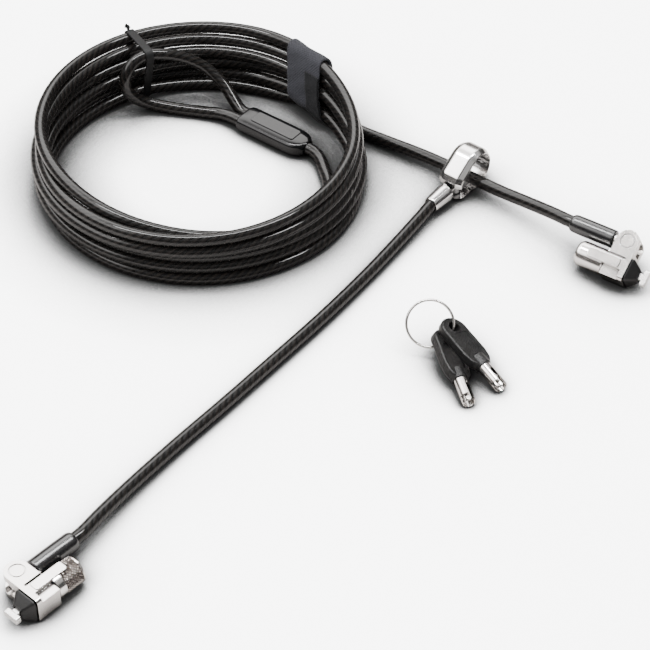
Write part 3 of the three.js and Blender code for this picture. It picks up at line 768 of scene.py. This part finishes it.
# Eye sleeve ---------------------------------------------------------------------------------
def frame_at(x, y, z, heading, roll=0.0):
    return (Matrix.Translation(at(x, y, z)) @ Matrix.Rotation(math.radians(heading), 4, "Z")
            @ Matrix.Rotation(math.radians(roll), 4, "X"))


SLEEVE_FRAME = frame_at(-33.2, 121.3, 0, -37.5)
# Along, half width, height above the floor's contact and half height of the moulding
SLEEVE_SECTIONS = [
    (0.0, 5.5, 3.75, 2.6), (0.25, 6.0, 3.75, 3.1), (1.2, 6.4, 3.75, 3.5), (4, 6.45, 3.75, 3.65),
    (22, 6.45, 3.75, 3.65), (27, 6.3, 3.75, 3.6), (29.6, 5.7, 3.75, 3.5), (31.3, 4.7, 3.75, 3.35),
    (32.4, 3.9, 3.75, 3.2), (33.0, 3.3, 3.75, 2.9), (33.0, 2.75, 3.75, 2.75), (30.5, 2.72, 3.75, 2.72),
]


SLEEVE_NOSE = 32.4
SLEEVE_SQUARE = 0.62


def make_sleeve():
    """The moulding, squarish but for its round nose, and the panel on its top."""
    rings = []
    for x, wide, middle, tall in SLEEVE_SECTIONS:
        power = 1.0 if x >= SLEEVE_NOSE else SLEEVE_SQUARE
        bent = [(math.copysign(abs(c) ** power, c), math.copysign(abs(s) ** power, s))
                for c, s in circle(1.0, 48)]
        rings.append([(x, wide * c, middle + tall * s) for c, s in bent])
    sleeve = stacked("sleeve_moulding", rings, GLOSS, SLEEVE_FRAME)
    for y in (-2.75, 2.75):
        mouth = turned("mouth", [(-2, 0), (-2, 3.0), (0.6, 2.62), (3.5, 2.55), (3.5, 0)], GLOSS,
                       SLEEVE_FRAME @ Matrix.Translation(Vector((0, y, 3.72)) * MM), 32)
        boolean(sleeve, mouth)
    soften(sleeve, 0.18, 2, 50)
    panel = prism("sleeve_panel", rounded(5.5, 27.5, -3.3, 3.3, 1.2), 7.0, 7.62, GLOSS, SLEEVE_FRAME)
    soften(panel, 0.22, 3)
    mount(sleeve, "main_cable", "black_gloss_plastic", "eye_sleeve")
    return sleeve, mount(panel, "main_cable", "black_gloss_plastic")


sleeve, panel = make_sleeve()


# Lock heads ---------------------------------------------------------------------------------
BLOCK_LENGTH = 9.6
BLOCK_HALF = 5.3
EAR_WIDTH = 9.1
EAR_OFFSET = 9.9
PIN_HOLE_R = 1.12
BARREL_R = 5.1
BARREL_LENGTH = 12.0
BOOT_R = 3.6
BOOT_LENGTH = 18.6


def make_housing(letter, side, place, body):
    """The block, its forked ear and its tongue. The ear is built on the -Y side, then mirrored."""
    half = EAR_WIDTH / 2
    square = rounded(-BLOCK_HALF, BLOCK_HALF, -BLOCK_HALF, BLOCK_HALF, 1.5, 5)
    housing = prism(f"lock_housing_{letter}", square, -BLOCK_LENGTH, 0, NICKEL, place, "YZ")
    outline = [(0, -0.8)]
    outline += [(-half + half * math.cos(math.radians(a)), -(EAR_OFFSET + half * math.sin(math.radians(a))))
                for a in np.linspace(0, 180, 49)]
    outline += [(-EAR_WIDTH, -0.8)]
    carve(housing, outline, -4.5, BLOCK_HALF, operation="UNION")
    carve_box(housing, (-EAR_WIDTH - 1, 1), (-EAR_OFFSET - EAR_WIDTH, 3.6 - EAR_OFFSET), (-2.05, 2.05))
    oval = [(-10.6 + 2.5 * math.cos(a), 3.05 * math.sin(a)) for a in np.linspace(0, TAU, 29)[:-1]]
    carve(housing, oval, -3.4, 1, "YZ")
    carve(housing, oval, -EAR_WIDTH - 1, -6.2, "YZ")
    carve_box(housing, (-BLOCK_LENGTH - 1, -2.1), (1.5, 7), (3.7, 8))
    carve(housing, rounded(-BLOCK_LENGTH - 1, -1.9, -3.7, -2.7, 0.48), 4.5, 8)
    carve(housing, arc(-half, -EAR_OFFSET, 3.0, 0, 354, 59), 5.0, 8)
    carve(housing, arc(-half, -EAR_OFFSET, 2.45, 0, 354, 59), 4.8, 5.26, operation="UNION")
    boolean(housing, turned("bore", [(-BLOCK_LENGTH - 1, 0), (-BLOCK_LENGTH - 1, 1.6), (1, 1.6), (1, 0)],
                            NICKEL, place, 28))
    soften(housing, 0.3, 3, 34)
    if side > 0:
        housing.data.transform(Matrix.Diagonal((1, -1, 1, 1)))
        outward(housing)
    mount(housing, body, "nickel_plated", f"housing_{letter}")
    low, high = sorted((-side * 1.4, side * 2.6))
    tongue = prism(f"lock_tongue_{letter}", rounded(-BLOCK_LENGTH - 7.2, -3.2, low, high, 0.9, 4),
                   4.55, 5.62, NICKEL, place)
    soften(tongue, 0.25, 3)
    mount(tongue, body, "nickel_plated")


# Along, half width and corner radius of the tip guard
GUARD_SECTIONS = [(0.25, 4.7, 1.5), (1.0, 4.7, 1.5), (2.4, 3.7, 1.2), (4.0, 2.5, 0.8), (4.5, 2.2, 0.7)]


def make_guard(letter, place, body):
    rings = [[(x, y, z) for y, z in rounded(-half, half, -half, half, radius, 4)]
             for x, half, radius in GUARD_SECTIONS]
    guard = stacked(f"bumper_{letter}", rings, GUARD, place)
    carve(guard, rounded(-1.55, 1.55, -1.55, 1.55, 0.3, 3), -1, 8, "YZ")
    soften(guard, 0.15, 2, 40)
    mount(guard, body, "black_matte_plastic", f"tip_guard_{letter}")


def make_t_bar(letter, place, body):
    stem = prism(f"security_bar_{letter}", rounded(-1.25, 1.25, -1.25, 1.25, 0.2, 3),
                 -BLOCK_LENGTH - 2.5, 6.4, STEEL, place, "YZ")
    carve(stem, rounded(-3.3, 3.3, -1.3, 1.3, 0.7, 4), 5.9, 7.8, "YZ", "UNION")
    soften(stem, 0.22, 3, 34)
    mount(stem, body, "bare_steel", f"t_bar_{letter}")


KNURL_FROM = -BLOCK_LENGTH - BARREL_LENGTH + 1.0
KNURL_TO = -BLOCK_LENGTH - 3.4
KNURL_PITCH = 1.15
KNURL_DEPTH = 0.42
KNURL_STARTS = 26
KNURL_FADE = 0.25


def knurl(x, angle):
    """Diamond knurl: the lower of two crossed sets of ridges."""
    fade = min(1.0, *(max(0.0, run / KNURL_FADE) for run in (x - KNURL_FROM, KNURL_TO - x)))
    round_it = angle / TAU * KNURL_STARTS
    ridges = [abs(((round_it + way * x / KNURL_PITCH) % 1.0) * 2 - 1) for way in (1, -1)]
    return -KNURL_DEPTH * fade * max(ridges)


def make_barrel(letter, place, body):
    front, back = -BLOCK_LENGTH - 0.2, -BLOCK_LENGTH - BARREL_LENGTH
    hollow = [(front, 0), (front, BARREL_R - 0.35), (front - 0.35, BARREL_R)]
    mouth = [(back, BARREL_R - 0.75), (back, 3.9), (back + 0.3, 3.75), (back + 9, 3.75), (back + 9, 0)]
    if letter == "a":
        rim = [(back + 0.75, BARREL_R), (back + 0.45, BARREL_R - 0.12)]
        start, end, steps = KNURL_TO + 0.3, KNURL_FROM - 0.3, 76
        middle = [(start + (end - start) * i / steps, BARREL_R) for i in range(steps + 1)]
        barrel = turned(f"lock_barrel_{letter}", hollow + middle + rim + mouth, NICKEL, place, 252,
                        lambda x, angle: knurl(x, angle) if KNURL_FROM < x < KNURL_TO else 0.0)
        shade(barrel, 26.0)
        # Painted shade: how deep each point sits in a knurl groove, which darkens it in the metal's colour
        cut = barrel.data.attributes.new("cut", "FLOAT", "POINT")
        for vertex, value in zip(barrel.data.vertices, cut.data):
            x, y, z = vertex.co
            if KNURL_FROM < x < KNURL_TO:
                value.value = min(1.0, max(0.0, (BARREL_R - math.hypot(y, z)) / KNURL_DEPTH))
    else:
        rim = [(front - 5, BARREL_R), (back + 1.7, BARREL_R), (back + 0.9, BARREL_R - 0.16),
               (back + 0.3, BARREL_R - 0.62)]
        barrel = turned(f"lock_barrel_{letter}", hollow + rim + mouth, NICKEL, place, 96)
        shade(barrel, 40.0)
    mount(barrel, body, "nickel_plated", f"barrel_{letter}")


# Three rings, as distance from the boot's face and radius
NECK = [
    (-5, 0), (-5, 1.7), (-0.05, 1.7), (0, 2.2), (0.15, 2.45), (0.75, 2.45), (0.9, 2.2), (0.95, 1.65),
    (1.3, 1.65), (1.35, 2.0), (1.5, 2.2), (1.9, 2.2), (2.05, 2.0), (2.1, 1.6), (2.5, 1.6),
    (2.55, 1.85), (2.9, 1.95), (3.2, 1.7),
]


def make_anchor(letter, neck, place, body):
    profile = [(x - neck, radius) for x, radius in NECK] + [(-1.4, 1.6), (0, 1.4), (0, 0)]
    anchor = turned(f"swivel_anchor_{letter}", profile, NICKEL, place, 48)
    carve(anchor, arc(0, 0, 2.85, 0, 350, 35), -1.8, 1.8, operation="UNION")
    carve(anchor, arc(0, 0, PIN_HOLE_R, 0, 345, 23), -3, 3)
    soften(anchor, 0.1, 2, 40)
    return mount(anchor, body, "nickel_plated", f"anchor_{letter}")


def make_boot(letter, neck, place, body):
    front, back = -neck - 0.1, -neck - BOOT_LENGTH
    profile = [(back + 6, 0), (back + 6, 2.56), (back + 0.2, 2.56), (back, 2.7)]
    profile += [(back + 1.9 * (1 - math.cos(a)), 2.75 + 0.85 * math.sin(a))
                for a in map(math.radians, range(10, 91, 10))]
    profile += [(back + 8, BOOT_R + 0.05), (front - 1.2, BOOT_R)]
    profile += [(front - 0.6 * (1 - math.sin(a)), BOOT_R - 0.6 * (1 - math.cos(a)))
                for a in map(math.radians, range(10, 91, 16))]
    profile += [(front, 1.95), (front - 0.8, 1.95), (front - 0.8, 0)]
    boot = turned(f"cable_boot_{letter}", profile, BOOT_GLOSS, place, 72)
    shade(boot, 35.0)
    return mount(boot, body, "black_gloss_plastic", f"boot_{letter}")


def make_head(letter, place, side, neck, barrel_body, cable_body):
    """One lock head with the anchor and the boot that it folds on. side is +1 or -1: the ear's."""
    hinge = place @ Matrix.Translation(Vector((-EAR_WIDTH / 2, side * EAR_OFFSET, 0)) * MM)
    make_housing(letter, side, place, f"head_{letter}")
    make_guard(letter, place, f"head_{letter}")
    make_t_bar(letter, place, f"core_{letter}")
    make_barrel(letter, place, barrel_body)
    return make_anchor(letter, neck, hinge, cable_body), make_boot(letter, neck, hinge, cable_body)


anchor_a, boot_a = make_head("a", frame_at(-97.4, -140.1, 5.3, 227.1), -1, 6.2, "core_a", "branch")
anchor_b, boot_b = make_head("b", frame_at(115.4, 21.9, 6.7, -33.5, 32), 1, 6.4, "head_b", "main_cable")


# Collar -------------------------------------------------------------------------------------
COLLAR_FRAME = frame_at(56.5, 83.1, 0, -38.5)
RIVET_Y = -8.4
FERRULE_FRAME = COLLAR_FRAME @ Matrix.Translation(Vector((0, RIVET_Y, 0)) * MM)
COLLAR_HALF = 5.5
COLLAR_R = 8.8
COLLAR_MIDDLE = 1.1
COLLAR_SLOPE = 34.0
COLLAR_FRONT = -12.3
COLLAR_WALL = 1.6
COLLAR_BEVEL = 1.3
COLLAR_BEVEL_WIDTH = 2.2
COLLAR_CORNER = 1.4


FERRULE_Z = 4.4
# The ferrule, from the rivet's axis out, as distance and radius
FERRULE = [
    (0, 0), (0, 1.9), (4.2, 1.9), (4.7, 2.6), (5.2, 3.5), (5.7, 3.72), (7.4, 3.85), (12.0, 3.55),
    (14.9, 3.3), (15.4, 3.12), (15.6, 2.85), (15.5, 2.6), (11, 2.58), (11, 0),
]


def collar_outline(inset, front):
    """The collar's section: round at the back, with a flat top that slopes down to the fork."""
    radius, corner = COLLAR_R - inset, COLLAR_CORNER
    turned_to = 90 + COLLAR_SLOPE
    top_y = COLLAR_MIDDLE + radius * math.cos(math.radians(turned_to))
    top_z = COLLAR_R + radius * math.sin(math.radians(turned_to))
    fall = math.tan(math.radians(COLLAR_SLOPE))

    def flat(y):
        return top_z - (top_y - y) * fall
    return (arc(COLLAR_MIDDLE, COLLAR_R, radius, -90, turned_to, 56)
            + [(front + corner, flat(front + corner)), (front, flat(front) - corner),
               (front, inset + corner), (front + corner, inset)])


def hulled(name, points, material, place):
    """The convex hull of a cloud of points."""
    obj = piece(name, points, [], material, place)
    shell = bmesh.new()
    shell.from_mesh(obj.data)
    made = bmesh.ops.convex_hull(shell, input=shell.verts)
    bmesh.ops.delete(shell, geom=[v for v in made["geom_interior"] + made["geom_unused"]
                                  if isinstance(v, bmesh.types.BMVert)], context="VERTS")
    bmesh.ops.dissolve_limit(shell, angle_limit=math.radians(1.0), verts=shell.verts, edges=shell.edges)
    bmesh.ops.recalc_face_normals(shell, faces=shell.faces)
    shell.to_mesh(obj.data)
    shell.free()
    return obj


def make_collar():
    """The collar's ring, and the branch cable's ferrule in its fork."""
    half, flat = COLLAR_HALF, COLLAR_HALF - COLLAR_BEVEL_WIDTH
    points = [(x, y, z) for x in (-flat, flat) for y, z in collar_outline(0, COLLAR_FRONT)]
    points += [(x, y, z) for x in (-half, half)
               for y, z in collar_outline(COLLAR_BEVEL, COLLAR_FRONT + COLLAR_BEVEL)]
    ring = hulled("collar_loop", points, CHROME, COLLAR_FRAME)
    soften(ring, 0.4, 3, 14)
    carve(ring, collar_outline(COLLAR_WALL, RIVET_Y + 3.0), -half - 1, half + 1, "YZ")
    carve_box(ring, (-half - 1, half + 1), (-14, -5.3), (2.0, 6.8))
    carve(ring, arc(0, RIVET_Y, 1.2, 0, 345, 23), -1, 9.3)
    soften(ring, 0.2, 2, 50)
    mount(ring, "collar", "chromed_steel", "collar_ring")
    eye = prism("ferrule_end", arc(0, 0, 2.75, 0, 350, 35), 2.35, 6.45, CHROME, FERRULE_FRAME)
    lie = FERRULE_FRAME @ Matrix.Translation(Vector((0, 0, FERRULE_Z)) * MM)
    lie = lie @ Matrix.Rotation(-math.pi / 2, 4, "Z")
    boolean(eye, turned("tube", FERRULE, CHROME, lie, 72), "UNION")
    carve(eye, arc(0, 0, PIN_HOLE_R, 0, 345, 23), 0, 9)
    soften(eye, 0.12, 2, 44)
    return mount(eye, "branch", "chromed_steel", "collar_ferrule")


ferrule = make_collar()


# Keys ---------------------------------------------------------------------------------------
RING = Vector((38.6, -11, 11))
RING_R = 8.7
RING_TILT = 50.0
WIRE_R = 0.5
# Where the wire starts and how far it winds, in turns, and how far its ends stand apart
WIRE_START = 0.31
WIRE_TURNS = 1.9
WIRE_APART = 0.62


def ring_point(angle):
    turn, tilt = math.radians(angle), math.radians(RING_TILT)
    return RING + Vector((RING_R * math.cos(turn), RING_R * math.sin(turn) * math.cos(tilt),
                          RING_R * math.sin(turn) * math.sin(tilt)))


def make_ring():
    """A split ring: nearly two turns of round wire, sprung together."""
    tilt = Matrix.Rotation(math.radians(RING_TILT), 3, "X")
    path = []
    for share in np.linspace(0, 1, 181):
        angle = TAU * (WIRE_START + WIRE_TURNS * share)
        aside = WIRE_APART * (share - 0.5)
        place = Vector((RING_R * math.cos(angle), RING_R * math.sin(angle), aside))
        path.append(at(*(RING + tilt @ place)))
    ring, _ = swept("split_ring", path, circle(WIRE_R, 14), NICKEL)
    mount(shade(ring, 60.0), "keys", "bare_steel", "key_ring")


make_ring()


# A key along its own X, from the hole's centre, in millimetres
SHOULDER = 18.5
KEY_TIP = SHOULDER + 11.5
KEY_TAIL = -5.0
KEY_HALF = 5.7
KEY_THICK = 1.8
KEY_HOLE_R = 2.4
TUBE_R = 2.6
PANEL_DEPTH = 0.28
PANEL = [(3.4, -3.6), (12.3, -3.9), (14.2, -2.6), (14.2, 2.6), (12.3, 3.9), (3.4, 3.6), (2.7, 2.4),
         (2.7, -2.4)]


def make_key(number, ring_angle, heading, pitch, roll):
    """A key hanging on the ring: its moulded head with sunk panels, and its slotted tube."""
    place = Matrix.Translation(at(*ring_point(ring_angle)))
    for angle, axis in ((heading, "Z"), (pitch, "Y"), (roll, "X")):
        place = place @ Matrix.Rotation(math.radians(angle), 4, axis)
    outline = [(SHOULDER - 6, -KEY_HALF), (SHOULDER - 2.2, -KEY_HALF + 0.7), (SHOULDER, -KEY_HALF + 2.3)]
    outline += [(x, -y) for x, y in reversed(outline)]
    outline += arc(KEY_TAIL + KEY_HALF - 0.1, 0, KEY_HALF - 0.1, 82, 278, 24)
    head = prism(f"key_grip_{number}", outline, -KEY_THICK, KEY_THICK, KEY_PLASTIC, place)
    soften(head, 0.75, 4, 50)
    root = [(-5.5, 0), (-5.0, 2.2), (-3.6, 3.05), (0.2, 3.2), (0.7, 2.95), (0.7, 0)]
    root = [(SHOULDER + x, radius) for x, radius in root]
    boolean(head, turned("root", root, KEY_PLASTIC, place, 40), "UNION")
    face = KEY_THICK - PANEL_DEPTH
    for low, high in ((face, KEY_THICK + 2), (-KEY_THICK - 2, -face)):
        carve(head, PANEL, low, high)
    carve(head, arc(0, 0, KEY_HOLE_R, 0, 350, 35), -4, 4)
    soften(head, 0.16, 2, 40)
    mount(head, f"key_{number}", "black_matte_plastic", f"key_{number}_head")
    profile = [(SHOULDER - 4, 0), (SHOULDER - 4, TUBE_R), (KEY_TIP - 0.35, TUBE_R), (KEY_TIP, 2.3),
               (KEY_TIP, 1.85), (KEY_TIP - 9, 1.8), (KEY_TIP - 9, 0)]
    shaft = turned(f"key_tube_{number}", profile, NICKEL, place, 56)
    for x, y, z in (((-8.2, 1), (-0.75, 0.75), (0.2, 4)), ((-3.1, -1.5), (-4, -1.1), (-0.6, 4)),
                    ((-6.5, -5.0), (1.6, 4), (-1.6, 1.2))):
        carve_box(shaft, (KEY_TIP + x[0], KEY_TIP + x[1]), y, z)
    bit = [(2.25 + a, b) for a, b in circle(0.42, 10)]
    for i in range(7):
        spun = place @ Matrix.Rotation(math.radians(150 + 34 * i), 4, "X")
        depth = 1.0 + 0.45 * ((i * 5 + number) % 3)
        boolean(shaft, prism("bit", bit, KEY_TIP - depth, KEY_TIP + 1, NICKEL, spun, "YZ"))
    soften(shaft, 0.08, 2, 44)
    mount(shaft, f"key_{number}", "nickel_plated", f"key_{number}_shaft")


make_key(1, -51.5, -74.7, 5.85, -33.0)
make_key(2, -16.4, -54.2, 12.6, -18.8)


# CAD nodes that keep their shape ------------------------------------------------------------
for node, material in (("key_plug_a", NICKEL), ("key_plug_b", NICKEL), ("pivot_pin_a", STEEL),
                       ("pivot_pin_b", STEEL), ("collar_rivet", STEEL), ("eye_crimp", ALUMINIUM)):
    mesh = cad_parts[node].data
    mesh.materials.clear()
    mesh.materials.append(material)


# Floor and light ----------------------------------------------------------------------------
# The floor under the part seems darker in glossy reflections, and darkest far from the part
NEAR, FAR = 0.16, 0.42
MIRRORED = [(0.0, (0.3, 0.285, 0.275)), (1.0, (0.012, 0.011, 0.0105))]
# Tone against openness and the reach in metres: painted shadow, the floor darkens under and beside the coil
CONTACT_SHADOW_TONES = [(0.0, 0.004), (0.5, 0.02), (0.66, 0.15), (0.84, 0.72), (0.95, 1.0)]
CONTACT_SHADOW_REACH = 0.036
FLOOR_HALF = 6.0


def make_floor():
    m = Nodes("floor")
    pale = m.ramp(m.noise(3.0, 2.0), [(0.3, (0.93, 0.93, 0.93)), (0.7, (0.95, 0.95, 0.95))])
    away = m.add("ShaderNodeVectorMath", operation="LENGTH")
    m.link(m.coordinates(), away.inputs[0])
    mirrored = m.ramp(m.spread(away.outputs["Value"], 0.0, 1.0, NEAR, FAR), MIRRORED)
    tone = m.mix(m.seen_in_gloss(), pale, mirrored)
    # Painted shadow: the floor's colour darkens under and beside the part
    m.link(m.painted_occlusion_shade(tone, CONTACT_SHADOW_REACH, CONTACT_SHADOW_TONES), m.shader.inputs["Base Color"])
    m.set(Roughness=0.9, Specular_IOR_Level=0.1)
    corners = [(x * FLOOR_HALF, y * FLOOR_HALF, 0) for x, y in ((-1, -1), (1, -1), (1, 1), (-1, 1))]
    piece("floor", corners, [[0, 1, 2, 3]], m.material)


def area_light(name, location, target, width, height, power, mirrored):
    """A rectangle of light. Only a mirrored one shows in glossy reflections."""
    data = bpy.data.lights.new(name, "AREA")
    data.shape = "RECTANGLE"
    data.size, data.size_y = width, height
    data.energy = power
    light = bpy.data.objects.new(name, data)
    light.visible_glossy = mirrored
    light.location = location
    light.rotation_mode = "QUATERNION"
    light.rotation_quaternion = (Vector(target) - Vector(location)).to_track_quat("-Z", "Y")
    bpy.context.scene.collection.objects.link(light)


# What glossy surfaces see of the sky, against the sine of the elevation: a bright band
SKY = [(0.0, 0.03), (0.3, 0.05), (0.5, 0.09), (0.6, 1.7), (0.8, 1.7), (0.9, 0.16), (1.0, 0.09)]
BRIGHT_TINT, DARK_TINT = (1.0, 0.985, 0.97), (1.0, 0.93, 0.88)
BAND_SIDE = (-0.75, 0.66, 0.0)
PAPER = 1.1


def make_world():
    """Even light for the floor, and a bright band on one side of the sky for glossy rays."""
    w = Nodes("studio", bpy.data.worlds, "Background")
    bpy.context.scene.world = w.material
    way = w.add("ShaderNodeTexCoord").outputs["Generated"]
    split = w.add("ShaderNodeSeparateXYZ")
    w.link(way, split.inputs[0])
    tints = [(height, value, BRIGHT_TINT if value > 1 else DARK_TINT) for height, value in SKY]
    sky = w.ramp(split.outputs[2], [(height, tuple(value * c for c in tint))
                                    for height, value, tint in tints])
    side = w.add("ShaderNodeVectorMath", {1: BAND_SIDE}, operation="DOT_PRODUCT")
    w.link(way, side.inputs[0])
    aimed = w.add("ShaderNodeVectorMath", operation="SCALE")
    w.link(sky, aimed.inputs[0])
    w.link(w.spread(side.outputs["Value"], 0.06, 1.0, 0.1, 0.33), aimed.inputs["Scale"])
    paper = w.add("ShaderNodeRGB")
    paper.outputs[0].default_value = (PAPER, PAPER, PAPER, 1.0)
    w.link(w.mix(w.seen_in_gloss(), paper.outputs[0], aimed.outputs["Vector"]), w.shader.inputs["Color"])
    w.shader.inputs["Strength"].default_value = 4.0


make_floor()
make_world()
area_light("overhead", (0.0, 0.25, 1.3), (0, 0.02, 0), 1.5, 0.14, 40, True)
area_light("back_strip", (0.0, 1.25, 0.75), (0, 0.05, 0), 1.6, 0.16, 20, False)
area_light("key", (-0.9, -0.35, 1.2), (0, 0, 0), 0.7, 0.7, 40, False)
area_light("fill", (1.1, -0.5, 0.8), (0, 0, 0), 0.6, 0.9, 14, False)
